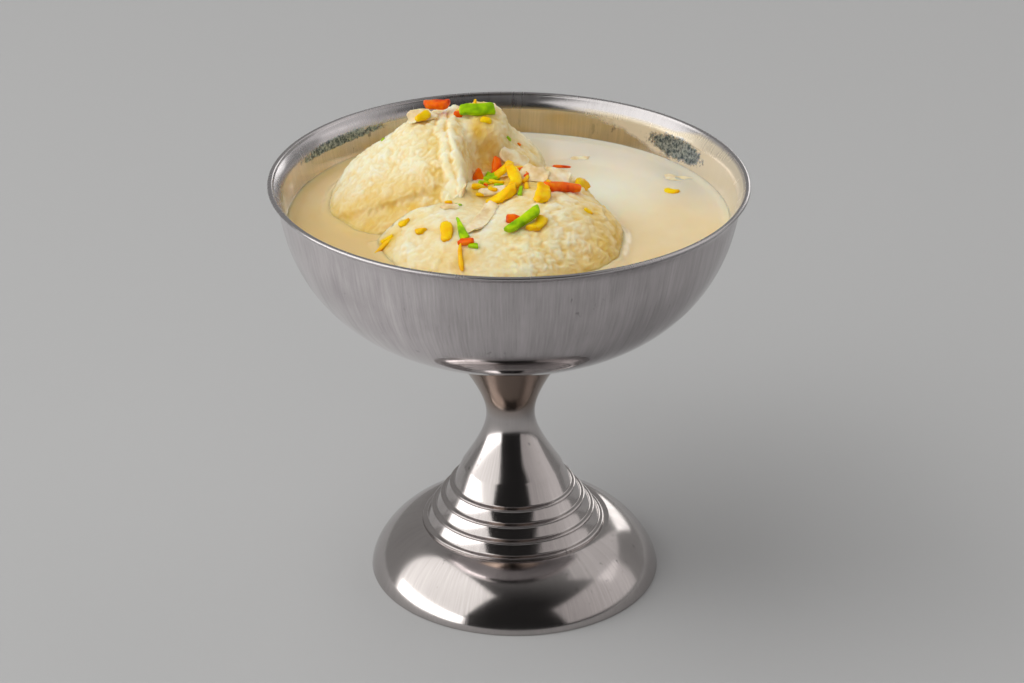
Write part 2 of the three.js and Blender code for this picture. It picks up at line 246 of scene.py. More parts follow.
class Shader:
    """A material's nodes round one Principled BSDF."""

    def __init__(self, name, sockets):
        self.material = bpy.data.materials.new(name)
        self.material.use_nodes = True
        self.tree = self.material.node_tree
        self.bsdf = self.tree.nodes["Principled BSDF"]
        for socket, value in sockets.items():
            self.put(self.bsdf.inputs[socket], value)

    def put(self, socket, value):
        """Links a socket to another, or sets it to a number or a colour."""
        if isinstance(value, bpy.types.NodeSocket):
            self.tree.links.new(value, socket)
        elif socket.type == "RGBA":
            socket.default_value = (*value, 1.0)
        else:
            socket.default_value = value

    def node(self, kind, sockets=None, **settings):
        made = self.tree.nodes.new(kind)
        for key, value in settings.items():
            setattr(made, key, value)
        for key, value in (sockets or {}).items():
            self.put(made.inputs[key], value)
        return made

    def place(self):
        return self.node("ShaderNodeTexCoord").outputs["Object"]

    def scaled(self, vector, scale):
        sockets = {"Vector": vector, "Scale": scale}
        return self.node("ShaderNodeMapping", sockets).outputs["Vector"]

    def noise(self, vector, scale, detail=3.0, roughness=0.5):
        sockets = {"Vector": vector, "Scale": scale, "Detail": detail, "Roughness": roughness}
        return self.node("ShaderNodeTexNoise", sockets).outputs["Fac"]

    def attribute(self, name):
        return self.node("ShaderNodeAttribute", attribute_name=name).outputs["Fac"]

    def ramp(self, value, low, high, to_low=0.0, to_high=1.0):
        sockets = {0: value, 1: low, 2: high, 3: to_low, 4: to_high}
        return self.node("ShaderNodeMapRange", sockets).outputs["Result"]

    def maths(self, operation, *values):
        sockets = dict(enumerate(values))
        return self.node("ShaderNodeMath", sockets, operation=operation).outputs[0]

    def plus(self, a, b):
        return self.maths("ADD", a, b)

    def minus(self, a, b):
        return self.maths("SUBTRACT", a, b)

    def times(self, a, b):
        return self.maths("MULTIPLY", a, b)

    def larger(self, a, b):
        return self.maths("MAXIMUM", a, b)

    def mix(self, factor, a, b, blend="MIX"):
        sockets = {0: factor, 6: a, 7: b}
        return self.node("ShaderNodeMix", sockets, data_type="RGBA", blend_type=blend).outputs[2]

    def bump(self, height, depth, strength):
        sockets = {"Height": height, "Distance": depth * MM, "Strength": strength}
        return self.node("ShaderNodeBump", sockets).outputs["Normal"]

    def round_axis(self):
        """The angle round the cup's axis, the height, and the place they are worked out from."""
        place = self.place()
        parts = self.node("ShaderNodeSeparateXYZ", {0: place}).outputs
        angle = self.maths("ARCTAN2", parts["Y"], parts["X"])
        return angle, parts["Z"], place


def toned(tint, red, green, blue):
    """A tint with each of its three colours multiplied by a share."""
    return (tint[0] * red, tint[1] * green, tint[2] * blue)


def steel(name, tint, roughness, streak, brushed=0, polished=0, painted_shade_above=0, filmed=False, painted_right_shade=0):
    """Spun steel: streaks down the wall, clouds of wear and small dark marks.

    Below the height polished, in metres, the wall is as bright as a mirror, and above the other
    height it is browner and darker, a painted reflection of the shadowed flange. Painted shade
    darkens the wall towards its near right by the share given, and a filmed wall carries milk and
    speckled patches of painted dark reflection.
    """
    shader = Shader(name, {"Metallic": 1.0, "Anisotropic": brushed})
    angle, height, place = shader.round_axis()
    wrapped = shader.node("ShaderNodeCombineXYZ", {"X": angle, "Y": height}).outputs[0]
    fine = shader.noise(shader.scaled(wrapped, (110.0, 130.0, 1.0)), 1.0, 4.0, 0.6)
    broad = shader.noise(shader.scaled(wrapped, (26.0, 34.0, 1.0)), 1.0, 4.0, 0.65)
    streaks = shader.times(shader.plus(fine, broad), 0.5)
    cloud = shader.noise(place, 70.0, 3.0)
    speck = shader.noise(shader.scaled(place, (1.0, 1.0, 0.5)), 700.0, 3.0)
    darker = (0.55, 0.55, 0.55)
    # Painted shade: the wall is darker towards its near right, where it mirrors the cup's shadow.
    towards_painted_shade = shader.maths("COSINE", shader.minus(angle, PAINTED_SHADE_SIDE))
    painted_shade = shader.ramp(towards_painted_shade, -0.2, 0.3, 0.0, painted_right_shade)
    shade = shader.mix(painted_shade, tint, toned(tint, 0.63, 0.63, 0.63))
    shade = shader.mix(shader.ramp(streaks, 0.36, 0.64, 0.0, streak), shade, darker, "MULTIPLY")
    clouded = shader.ramp(cloud, 0.4, 0.7, 0.0, 0.6 * streak)
    shade = shader.mix(clouded, shade, darker, "MULTIPLY")
    specks = shader.ramp(speck, 0.66, 0.72, 0.0, min(1.0, 2 * streak))
    marks = shader.times(specks, shader.ramp(cloud, 0.48, 0.58))
    shade = shader.mix(marks, shade, toned(tint, 0.3, 0.3, 0.3))
    uneven = shader.plus(streaks, cloud)
    rough = shader.ramp(uneven, 0.7, 1.3, 0.7 * roughness, 1.4 * roughness)
    grooves = streaks
    if polished:
        satin = shader.ramp(height, polished, polished + 0.0005)
        rough = shader.times(rough, shader.ramp(satin, 0.0, 1.0, 0.45, 1.0))
        grooves = shader.times(streaks, satin)
    if painted_shade_above:
        # Painted reflection: browner and darker above this height, for the shadowed flange it
        # mirrors.
        painted_brown_shade = shader.ramp(height, painted_shade_above - 0.003, painted_shade_above + 0.001)
        shade = shader.mix(painted_brown_shade, shade, toned(tint, 0.62, 0.52, 0.44))
    if filmed:
        film, dark_reflection = film_and_dark_reflections(shader, angle, wrapped, height, place)
        shade = shader.mix(film, shade, colour(224, 211, 184))
        # Painted dark reflection: speckled dark blue-grey patches on the wall.
        grit = shader.ramp(shader.noise(place, 1300.0, 3.0, 0.7), 0.4, 0.62)
        speckled_dark_reflection = shader.mix(grit, (0.08, 0.11, 0.14), (0.48, 0.54, 0.58))
        shade = shader.mix(dark_reflection, shade, speckled_dark_reflection)
        film_and_reflection = shader.larger(film, dark_reflection)
        rough = shader.larger(rough, shader.ramp(film_and_reflection, 0.0, 1.0, 0.0, 0.3))
        shader.put(shader.bsdf.inputs["Metallic"], shader.ramp(film, 0.0, 1.0, 1.0, 0.2))
    shader.put(shader.bsdf.inputs["Base Color"], shade)
    shader.put(shader.bsdf.inputs["Roughness"], rough)
    shader.put(shader.bsdf.inputs["Normal"], shader.bump(grooves, 0.02, streak))
    if brushed:
        tangent = shader.node("ShaderNodeTangent", direction_type="RADIAL", axis="Z")
        shader.put(shader.bsdf.inputs["Tangent"], tangent.outputs[0])
    return shader.material


def film_and_dark_reflections(shader, angle, wrapped, height, place):
    """The film that poured milk left on the far right of the wall, and two speckled patches
    of painted dark reflection.

    The film's lower edge comes down from below the lip at the back to the milk at the right,
    where its upper edge reaches the rim.
    """
    ragged = shader.noise(shader.scaled(wrapped, (9.0, 260.0, 1.0)), 1.0, 4.0, 0.6)
    lower_edge = shader.maths("MULTIPLY_ADD", angle, FILM_SLOPE, FILM_START)
    over = shader.times(shader.minus(height, lower_edge), 900.0)
    wet = shader.plus(over, shader.times(ragged, 4.0))
    upper_edge = shader.ramp(angle, 0.72, 0.56, 0.0858, 0.0872)
    below = shader.ramp(shader.minus(height, upper_edge), 0.0006, 0.0)
    film = shader.times(shader.ramp(wet, 1.8, 3.0), below)
    film = shader.times(film, shader.ramp(angle, 1.34, 1.2))
    film = shader.times(film, shader.ramp(angle, -0.5, -0.3, 0.0, 0.8))
    grit = shader.noise(place, 900.0, 4.0, 0.7)
    # Painted dark reflections: patches where the wall mirrors something dark.
    dark_reflection = 0.0
    for middle, half_width, level, half_height in DARK_REFLECTION_PATCHES:
        off = shader.maths("DIVIDE", shader.minus(angle, middle), half_width)
        drop = shader.maths("DIVIDE", shader.minus(height, level), half_height)
        square = shader.plus(shader.times(off, off), shader.times(drop, drop))
        patch = shader.plus(shader.ramp(square, 1.5, 0.1), shader.times(grit, 1.6))
        dark_reflection = shader.larger(dark_reflection, shader.ramp(patch, 1.1, 1.4))
    return shader.times(film, shader.minus(1.0, dark_reflection)), dark_reflection


def milk_material():
    """Sweet milk, golden in swirls. Painted shade makes it golden at the left and near side, a
    painted reflection makes it greyer at the far edge, and a painted highlight makes it paler by
    the dumplings.
    """
    shader = Shader("milk", {
        "Roughness": 0.13, "IOR": 1.35, "Subsurface Weight": 1.0, "Subsurface Scale": 1.6 * MM,
        "Subsurface Radius": (1.0, 0.75, 0.5),
    })
    place = shader.place()
    swirl = shader.noise(shader.scaled(place, (1.0, 0.7, 1.0)), 60.0, 4.0, 0.55)
    parts = shader.node("ShaderNodeSeparateXYZ", {0: place}).outputs
    # Painted shade: golden deepening towards the left, which the wall shades, and the near side.
    left = shader.ramp(parts["X"], 0.004, -0.034, 0.0, 0.62)
    near = shader.ramp(parts["Y"], 0.012, -0.024, 0.0, 0.42)
    swirled = shader.ramp(swirl, 0.3, 0.7, 0.0, 0.5)
    golden = shader.plus(shader.plus(left, near), swirled)
    shade = shader.mix(golden, colour(248, 232, 197), colour(232, 203, 142))
    # Painted reflection: greyer milk at the far right edge, where it mirrors the steel wall.
    outwards = shader.maths("MULTIPLY_ADD", parts["X"], 0.8, parts["Y"])
    shade = shader.mix(shader.ramp(outwards, 0.03, 0.046), shade, colour(224, 216, 196))
    # Painted highlight: paler milk round one place by the dumplings.
    sockets = {0: place, 1: PAINTED_HIGHLIGHT_PLACE}
    away = shader.node("ShaderNodeVectorMath", sockets, operation="DISTANCE").outputs["Value"]
    painted_highlight = shader.ramp(away, 0.018, 0.003, 0.0, 0.9)
    shade = shader.mix(painted_highlight, shade, colour(255, 248, 228))
    shader.put(shader.bsdf.inputs["Base Color"], shade)
    fat = shader.noise(place, 300.0, 3.0)
    shader.put(shader.bsdf.inputs["Normal"], shader.bump(fat, 0.03, 0.4))
    return shader.material


def cheese_material():
    """Fresh cheese: white where it stands out, with painted golden shade in its creases, golden
    where milk soaks it, and tinted by saffron and painted shade.
    """
    shader = Shader("cheese", {
        "IOR": 1.38, "Subsurface Weight": 1.0, "Subsurface Scale": 1.4 * MM,
        "Subsurface Radius": (1.0, 0.85, 0.55), "Coat Roughness": 0.16, "Coat Weight": 0.22,
    })
    place = shader.place()
    crease_shade = shader.attribute("crease_shade")
    soaked = shader.attribute("soaked")
    grain = shader.noise(place, 1500.0, 3.0, 0.6)
    patchy = shader.ramp(shader.noise(place, 160.0, 3.0), 0.35, 0.65)
    body = shader.mix(patchy, colour(253, 245, 221), colour(247, 233, 187))
    # Painted shade: golden in the creases and pits.
    body = shader.mix(shader.ramp(crease_shade, 0.3, 0.88), body, colour(239, 207, 118))
    body = shader.mix(shader.ramp(soaked, 0.0, 1.0, 0.0, 0.6), body, colour(238, 210, 134))
    # Saffron stains and painted shade, golden.
    body = shader.mix(shader.attribute("saffron_and_shade"), body, colour(232, 192, 76))
    shader.put(shader.bsdf.inputs["Base Color"], body)
    shader.put(shader.bsdf.inputs["Roughness"], shader.ramp(soaked, 0.0, 1.0, 0.5, 0.22))
    shader.put(shader.bsdf.inputs["Normal"], shader.bump(grain, 0.12, 0.7))
    return shader.material


def topping_material(name, main, dark, light, roughness, depth):
    """A moist sliver: its colour drifts along it, darker and lighter at random."""
    shader = Shader(name, {
        "Roughness": roughness, "Subsurface Weight": 0.3, "Subsurface Scale": depth * MM,
        "Subsurface Radius": (1.0, 0.6, 0.1), "Specular IOR Level": 0.22,
    })
    place = shader.place()
    drift = shader.noise(place, 420.0, 2.0)
    fibre = shader.noise(place, 2200.0, 2.0)
    body = shader.mix(shader.ramp(drift, 0.32, 0.5), colour(*dark), colour(*main))
    body = shader.mix(shader.ramp(drift, 0.5, 0.68), body, colour(*light))
    shader.put(shader.bsdf.inputs["Base Color"], body)
    shader.put(shader.bsdf.inputs["Normal"], shader.bump(fibre, 0.05, 0.5))
    return shader.material


# The steel cup


def bowl_radius_at(depth, inset):
    """The radius of the bowl's surface at a depth below the rim, set in from the outside."""
    share = clamp01(depth / (BOWL_DEPTH - inset))
    flare = RIM_FLARE * clamp01(1 - depth / FLARE_DEPTH) ** 2
    lip = LIP_FLARE * clamp01(1 - depth / LIP_DEPTH) ** 2
    return (BOWL_RADIUS - inset) * (1 - share**DEPTH_POWER) ** (1 / PLAN_POWER) + flare + lip


def bowl_wall(inset, start_depth, steps):
    """Points down the wall from a depth to the bottom, close together where it curves."""
    deepest = BOWL_DEPTH - inset
    round_from = max(start_depth, LIP_DEPTH)
    lip = np.linspace(start_depth, round_from, LIP_STEPS)[:-1] if start_depth < LIP_DEPTH else []
    turn = np.linspace(math.asin(round_from / deepest), math.pi / 2, steps + 1)
    depth = np.concatenate([lip, deepest * np.sin(turn)])
    wall = np.stack([bowl_radius_at(depth, inset), RIM_HEIGHT - depth], 1)
    wall[-1, 0] = 0
    return wall


def make_bowl():
    """The bowl's wall flares out at the top and ends in a rounded edge."""
    outside = bowl_wall(0, EDGE_HEIGHT, WALL_STEPS)[::-1]
    inside = bowl_wall(STEEL_WALL, EDGE_HEIGHT, WALL_STEPS)
    turn = np.linspace(0, math.pi, EDGE_STEPS)[1:-1, None]
    half = (outside[-1] - inside[0]) / 2
    edge = inside[0] + half + np.cos(turn) * half + np.sin(turn) * np.array([0, EDGE_HEIGHT])
    points, faces = turned(np.vstack([outside, edge, inside]), BOWL_STEPS)
    bowl = add_mesh(
        "bowl_spun", points, faces,
        # The outside takes painted shade towards its near right.
        steel("steel_outside", (0.92, 0.86, 0.87), 0.18, 0.6, polished=0.0665, painted_right_shade=1),
        steel("steel_lip", (0.54, 0.52, 0.525), 0.24, 0.06, filmed=True),
        steel("steel_inside", (0.84, 0.78, 0.75), 0.12, 0.4, filmed=True),
    )
    ring_of_face = np.arange(len(faces)) // BOWL_STEPS
    region = (ring_of_face >= len(outside) - 1).astype(int)
    region += ring_of_face >= len(outside) + len(edge) + LIP_STEPS - 2
    bowl.data.polygons.foreach_set("material_index", region.astype(np.int32))
    return bowl


def stem_radius(height):
    slope = np.where(height > NECK_HEIGHT, 0.73, 0.76)
    return np.hypot(NECK_RADIUS, slope * (height - NECK_HEIGHT))


def make_foot():
    """The foot's section, from the hollow underneath out to the edge and up to the bowl."""
    turn = np.linspace(0.05, math.pi / 2 - 0.12, FLANGE_STEPS)
    reach = FOOT_RADIUS - FLANGE_INNER
    power = 2 / FLANGE_POWER
    flange = np.stack([
        FLANGE_INNER + reach * np.cos(turn) ** power,
        FLANGE_HEIGHT * np.sin(turn) ** power,
    ], 1)
    hollow = rounded([
        (0, 27.5, 0),
        (6.5, 24.6, 3),
        (10.4, 19.6, 3),
        (14.4, 14, 3),
        (18.2, 8.8, 2),
        (23.6, 7.8, 2),
        (26, 5.8, 1.5),
        (27.7, 3, 1.5),
        (FOOT_RADIUS - FOOT_EDGE, 0, 0.2),
        (FOOT_RADIUS - 0.1, 0, 0.15),
        (*flange[0], 0),
    ])
    corners = [(*flange[-1], 0)]
    for ring in reversed(range(RING_COUNT)):
        x, y = FIRST_RING + ring * RING_STEP
        corners += [(x - 0.1, y - 0.45, 0.1), (x, y - 0.05, 0.12)]
        corners += [(x - 0.3, y + 0.12, 0.1), (x - 1, y + 0.15, 0.35)]
    heights = np.linspace(23.7, 52.8, STEM_STEPS)
    stem = np.stack([stem_radius(heights), heights], 1)
    corners.append((*stem[0], 0))
    seat = np.linspace(SEAT_RADIUS, 0, SEAT_STEPS)
    depth = BOWL_DEPTH * (1 - (seat / BOWL_RADIUS) ** PLAN_POWER) ** (1 / DEPTH_POWER)
    top = np.stack([seat, RIM_HEIGHT - depth - 0.02], 1)
    section = np.vstack([hollow, flange[1:-1], rounded(corners)[:-1], stem, top])
    points, faces = turned(section, FOOT_STEPS)
    points[:, 0] += FOOT_LEAN * (1 - points[:, 2] / LEAN_HEIGHT)
    # The neck above 39 mm takes a painted reflection, browner and darker.
    metal = steel("steel_foot", (0.54, 0.505, 0.495), 0.14, 0.3, brushed=0.2, painted_shade_above=0.039)
    return add_mesh("foot_spun", points, faces, metal)


# The dumplings


def blend_max(a, b, width):
    """The larger of two distances, rounded off over a width where they meet."""
    share = clamp01(0.5 + (a - b) / (2 * width))
    return b + (a - b) * share + width * share * (1 - share)


def bowl_distance(points):
    """About the distance from the inside of the bowl that the soft cheese rests against."""
    inset = STEEL_WALL + REST_GAP
    wide = np.hypot(points[:, 0], points[:, 1]) / (BOWL_RADIUS - inset)
    deep = np.maximum(RIM_HEIGHT - points[:, 2], 0) / (BOWL_DEPTH - inset)
    mean_power = (PLAN_POWER + DEPTH_POWER) / 2
    return ((wide**PLAN_POWER + deep**DEPTH_POWER) ** (1 / mean_power) - 1) * BOWL_DEPTH


def draws(seed):
    """The same draws every time, from a linear congruential rule."""
    state = seed
    while True:
        state = (state * 1664525 + 1013904223) % 4294967296
        yield state / 4294967296


@dataclass
class Patty:
    """A pressed ball of fresh cheese: where it lies, its half sizes and how it is turned.

    Lift first raises its right end, then yaw turns it counter-clockwise from above, both in
    radians.
    """

    centre: tuple
    half: tuple
    yaw: float
    lift: float
    lump_seed: int
    lump_count: int
    lump_height: float

    def turn(self):
        return np.array(Matrix.Rotation(self.yaw, 3, "Z") @ Matrix.Rotation(-self.lift, 3, "Y"))

    def reach(self, directions):
        return (directions * np.array(self.half)) @ self.turn().T

    def plain(self, points):
        """About the distance from the plain patty's skin, below zero inside."""
        q = ((points - np.array(self.centre)) @ self.turn()) / np.array(self.half)
        plan = np.hypot(q[:, 0], q[:, 1])
        return ((plan**2.2 + np.abs(q[:, 2]) ** 2.2) ** (1 / 2.2) - 1) * min(self.half)

    def lumps(self, points):
        """How far the small lumps and hollows raise each point."""
        draw = draws(self.lump_seed)
        rise = np.zeros(len(points))
        for _ in range(self.lump_count):
            angle = 2 * math.pi * next(draw)
            w = 2 * next(draw) - 1
            r = math.sqrt(1 - w * w)
            direction = np.array([[r * math.cos(angle), r * math.sin(angle), w]])
            place = self.reach(direction)[0] + np.array(self.centre)
            radius = 1.8 + 2.4 * next(draw)
            rise += hump(points, place, radius, self.lump_height * (2 * next(draw) - 1))
        return rise


BACK = Patty(
    centre=(-15.6, 9.8, 75.5),
    half=(26.7, 20.7, 16.6),
    yaw=0.79,
    lift=0.506,
    lump_seed=7,
    lump_count=90,
    lump_height=0.55,
)
FRONT = Patty(
    centre=(-2.6, -10.0, 76.3),
    half=(25.2, 25.5, 11.0),
    yaw=0.0,
    lift=0.05,
    lump_seed=11,
    lump_count=120,
    lump_height=0.7,
)


def back_crack(points):
    """The height above the crack along the pressed edge, and where the crack runs."""
    x, y, z = points.T
    near_left = ease((10 - y) / 8) * ease((-13 - x) / 6) * ease((x + 38) / 5)
    return z - 80.9 - np.minimum(0.34 * (x + 31), 5), near_left


def ridge_side(points):
    """How far to the right of the rear dumpling's ridge each point lies."""
    x, _, z = points.T
    return x + 7.8 + 0.026 * (z - 85) ** 2


def back_distance(points):
    """The rear dumpling: a steep ridge down its near side, with its right face set back."""
    _, y, z = points.T
    side = ridge_side(points)
    near = ease((26 - y) / 10)
    right = bell(np.maximum(side, 0), 11) * ease(side / 1.6 + 0.5)
    set_back = 6 * near * right * ease((97 - z) / 12)
    ridge = 1.3 * near * bell(side + 1.6, 2) * ease((97 - z) / 8) * ease((z - 80) / 4)
    crack, near_left = back_crack(points)
    body = BACK.plain(points) + set_back - ridge
    body += near_left * (0.8 * bell(crack, 1.1) - 0.7 * bell(crack + 2.4, 1.5))
    for swelling in BACK_SWELLINGS:
        body -= hump(points, *swelling)
    return blend_max(body, bowl_distance(points), 3)


def front_distance(points):
    """The near dumpling: flat and low in the milk, pressed in where the other leans on it."""
    body = FRONT.plain(points)
    for swelling in FRONT_SWELLINGS:
        body -= hump(points, *swelling)
    return np.maximum(blend_max(body, bowl_distance(points), 3), BITE_GAP - back_distance(points))


def ball_grid(count):
    """Even directions on a ball from the six faces of a cube, and the quads between them."""
    steps = np.tan(np.linspace(-math.pi / 4, math.pi / 4, count + 1))
    a, b = (g.ravel() for g in np.meshgrid(steps, steps, indexing="ij"))
    directions = []
    quads = []
    corner = (np.arange(count)[:, None] * (count + 1) + np.arange(count)).ravel()
    square = np.stack([corner, corner + count + 1, corner + count + 2, corner + 1], 1)
    for axis in range(3):
        for side in (1, -1):
            face = np.zeros((len(a), 3))
            face[:, axis] = side
            face[:, (axis + 1) % 3] = a
            face[:, (axis + 2) % 3] = b
            quads.append((square if side > 0 else square[:, ::-1]) + len(directions) * len(a))
            directions.append(face)
    directions = np.vstack(directions)
    directions /= np.linalg.norm(directions, axis=1)[:, None]
    rows = directions.round(6)
    _, first, same = np.unique(rows, axis=0, return_index=True, return_inverse=True)
    return directions[first], same.ravel()[np.vstack(quads)]


def skin(patty, distance, directions):
    """The dumpling's skin along rays from its centre, with its lumps."""
    rays = patty.reach(directions)
    centre = np.array(patty.centre)
    inside = np.zeros(len(rays))
    going = np.ones(len(rays), bool)
    while going.any():
        ahead = distance(centre + rays[going] * (inside[going] + SKIN_STEP)[:, None]) < 0
        inside[np.flatnonzero(going)[ahead]] += SKIN_STEP
        going[np.flatnonzero(going)[~ahead]] = False
    outside = inside + SKIN_STEP
    for _ in range(SKIN_HALVINGS):
        middle = (inside + outside) / 2
        within = distance(centre + rays * middle[:, None]) < 0
        inside = np.where(within, middle, inside)
        outside = np.where(within, outside, middle)
    points = centre + rays * inside[:, None]
    outward = rays / np.linalg.norm(rays, axis=1)[:, None]
    return points + outward * patty.lumps(points)[:, None]


def normals_of(points, quads):
    """The outward direction at each point of a closed mesh of quads."""
    corners = points[quads]
    faces = np.cross(corners[:, 2] - corners[:, 0], corners[:, 3] - corners[:, 1])
    normals = np.zeros_like(points)
    for k in range(4):
        np.add.at(normals, quads[:, k], faces)
    return normals / np.linalg.norm(normals, axis=1)[:, None]


def back_relief(points):
    """Soft folds down the ridge, furrows down the pressed face, crumbs and small pits."""
    x, y, z = points.T
    side = ridge_side(points) + 1.1 * noise_at(points, np.array([4.0, 4.0, 5.0]), 0.7)
    folds = 2 * np.abs(np.sin(side * math.pi / 2.7)) - 1
    ridge = bell(side + 3.0, 4.0) * ease((29 - y) / 8) * ease((z - 80) / 4)
    deep = bell(side + 6.4, 1.2) * bell(z - 87.5, 5) * ease((16 - y) / 5)
    leaning = np.stack([x + 0.35 * (z - 85), y, z], 1)
    furrow = noise_at(leaning, np.array([1.5, 1.8, 4.6]), 3.1)
    lumps = noise_at(points, 4.2, 5.2) + 0.6 * noise_at(points, 2.4, 2.9)
    crumb = curds_at(points, 1.5, 1.9) + 0.7 * curds_at(points, 0.8, 4.3)
    hole = pits_at(leaning, np.array([1.8, 1.8, 2.6]), 4.4)
    relief = 0.17 * lumps + 0.12 * crumb + (0.08 + 0.14 * ridge + 0.1 * ease(side / 3)) * furrow
    return relief - (0.1 + 0.2 * ridge) * hole + 0.2 * ridge * folds - 0.4 * deep - 0.02


def back_saffron_and_shade(points):
    """Painted shade beside the ridge and on the face set back from it; under the crack, saffron
    milk and painted shade.
    """
    side = ridge_side(points)
    crack, near_left = back_crack(points)
    shade_beside_ridge = 0.75 * bell(side - 3.2, 3.0) * ease((99 - points[:, 2]) / 4)
    return shade_beside_ridge + 0.3 * ease(side / 4) + 0.9 * near_left * ease(1.0 - crack / 6)


def front_relief(points):
    """Soft curds with crumbs standing out and small pits between them."""
    curd = 0.16 * curds_at(points, 3.4, 7.3) + 0.1 * curds_at(points, 1.9, 2.6)
    crumb = 0.1 * curds_at(points, 1.1, 6.1) + 0.1 * noise_at(points, 0.7, 0.4)
    hole = pits_at(points, 2.1, 9.2)
    craggy = 0.55 + 0.45 * ease((points[:, 0] + 4) / 10)
    return craggy * (curd + crumb) - 0.14 * hole - 0.02


def front_saffron_and_shade(points):
    """Saffron milk in the hollow between the dumplings, and painted shade down the near right."""
    x, y, _ = points.T
    return 0.85 * ease((x - 8) / 12) + 0.35 * bell(x + 7, 5) * bell(y + 6, 6)


def syrup_at(points, bearer):
    """How much the coloured toppings that lie on a dumpling tint the cheese round them."""
    tint = np.zeros(len(points))
    for kind, x, y, _, length, *_ in TOPPINGS[bearer]:
        if kind in ("peel_yellow", "saffron"):
            away = np.hypot(points[:, 0] - x, points[:, 1] - y)
            tint += 0.75 * bell(away, 1.0 + 0.38 * length)
    return tint


def make_dumpling(bearer, patty, distance, relief, saffron_and_shade_of, material):
    directions, quads = ball_grid(DUMPLING_GRID)
    points = skin(patty, distance, directions)
    normals = normals_of(points, quads)
    height = relief(points)
    patchy = 0.75 + 0.5 * noise_at(points, 3.0, 1.3)
    # Saffron round the toppings, and painted shade on the sides away from the light
    saffron_and_shade = clamp01((saffron_and_shade_of(points) + syrup_at(points, bearer)) * patchy)
    above = points[:, 2] - MILK_LEVEL
    dry = ease(above / 2.2 + 0.35)
    points = points + normals * (height * (0.25 + 0.75 * dry))[:, None]
    piece = add_mesh("dumpling_" + bearer + "_cheese", points, quads.tolist(), material)
    # Painted shade in the creases: more where the relief is low.
    set_values(piece, "crease_shade", clamp01(0.3 - height * 1.3))
    set_values(piece, "soaked", 1 - ease(above / 3.0))
    set_values(piece, "saffron_and_shade", saffron_and_shade)
    return piece


def tree_of(piece):
    """A search tree over a piece's faces, in millimetres."""
    points = [v.co / MM for v in piece.data.vertices]
    return BVHTree.FromPolygons(points, [p.vertices[:] for p in piece.data.polygons])


# The milk


def make_milk(dumplings, material):
    """The pool of milk, drawn up a little where it wets the steel and the cheese."""
    depth = RIM_HEIGHT - MILK_LEVEL
    edge = float(bowl_radius_at(depth, STEEL_WALL)) + FILL_INTO_WALL
    wall = bowl_wall(STEEL_WALL - FILL_INTO_WALL, depth, MILK_WALL_STEPS)[::-1]
    top = np.linspace(edge, 0, MILK_TOP_STEPS)
    section = np.vstack([wall[:-1], np.stack([top, np.full(len(top), MILK_LEVEL)], 1)])
    points, faces = turned(section, MILK_STEPS)
    surface = np.flatnonzero(points[:, 2] > MILK_LEVEL - 1e-6)
    flat = points[surface]
    to_wall = edge - FILL_INTO_WALL - np.hypot(flat[:, 0], flat[:, 1])
    rise = 0.55 * bell(np.maximum(to_wall, 0), 1.1)
    for dumpling in dumplings:
        tree = tree_of(dumpling)
        away = np.array([tree.find_nearest(q)[3] for q in flat.tolist()])
        rise = np.maximum(rise, 0.6 * bell(away, 0.9))
    swell = 0.05 * noise_at(flat, 9.0, 2.2) + 0.025 * noise_at(flat, 3.5, 6.4)
    points[surface, 2] += rise + swell
    return add_mesh("milk_pool", points, faces, material)


# The toppings


def power(values, exponent):
    return np.sign(values) * np.abs(values) ** exponent


def sliver(length, width, depth, blunt, square, rough, taper, bend, seed):
    """A closed cut sliver about its own middle, long on X and flat on Z, no two quite alike."""
    along = np.linspace(-math.pi / 2, math.pi / 2, SLIVER_RINGS)[1:-1]
    around = np.linspace(0, 2 * math.pi, SLIVER_SIDES, endpoint=False)
    count = SLIVER_SIDES
    share = power(np.sin(along), blunt)
    girth = np.cos(along) ** blunt * (1 - taper * (share + 1) / 2)
    y = np.outer(girth, power(np.cos(around), square)) * width / 2
    z = np.outer(girth, power(np.sin(around), square)) * depth / 2
    x = np.repeat(share[:, None] * length / 2, count, 1)
    ends = np.array([[-length / 2, 0, 0], [length / 2, 0, 0]])
    points = np.vstack([np.stack([x, y, z], 2).reshape(-1, 3), ends])
    skew = noise.noise((seed, 0.5, 0.5))
    points[:, 0] += skew * points[:, 1] * np.sign(points[:, 0])
    points[:, 1] += bend * (points[:, 0] * 2 / length) ** 2
    coarse = np.stack([noise_at(points, 1.6, seed + 9 * k) for k in range(3)], 1)
    fine = np.stack([noise_at(points, 0.45, seed + 5 * k) for k in range(3)], 1)
    points += rough * width * (coarse + 0.35 * fine)
    faces = []
    for j in range(len(along) - 1):
        for i in range(count):
            k = (i + 1) % count
            faces.append((j * count + i, (j + 1) * count + i, (j + 1) * count + k, j * count + k))
    first = len(points) - 2
    last = first + 1
    end_ring = (len(along) - 1) * count
    for i in range(count):
        k = (i + 1) % count
        faces.append((first, i, k))
        faces.append((last, end_ring + k, end_ring + i))
    return points, faces


# Each kind's thickness, how blunt its ends are, how square it is across and how uneven
KINDS = {
    "nut_green": dict(depth=1.2, blunt=0.26, square=0.6, rough=0.12),
    "peel_yellow": dict(depth=1.3, blunt=0.5, square=0.8, rough=0.2),
    "peel_orange": dict(depth=1.4, blunt=0.35, square=0.65, rough=0.16),
    "almond": dict(depth=0.8, blunt=0.6, square=0.7, rough=0.14),
    "saffron": dict(depth=0.5, blunt=0.8, square=1.0, rough=0.15),
}

# The most that a sliver's thickness may be of its width, and how much of its thickness it is
# raised by
THICKNESS_OF_WIDTH = 0.8
RAISED_OF_THICKNESS = 0.15

# A height above everything, from which the ground under a topping is looked for
ABOVE_ALL = 200

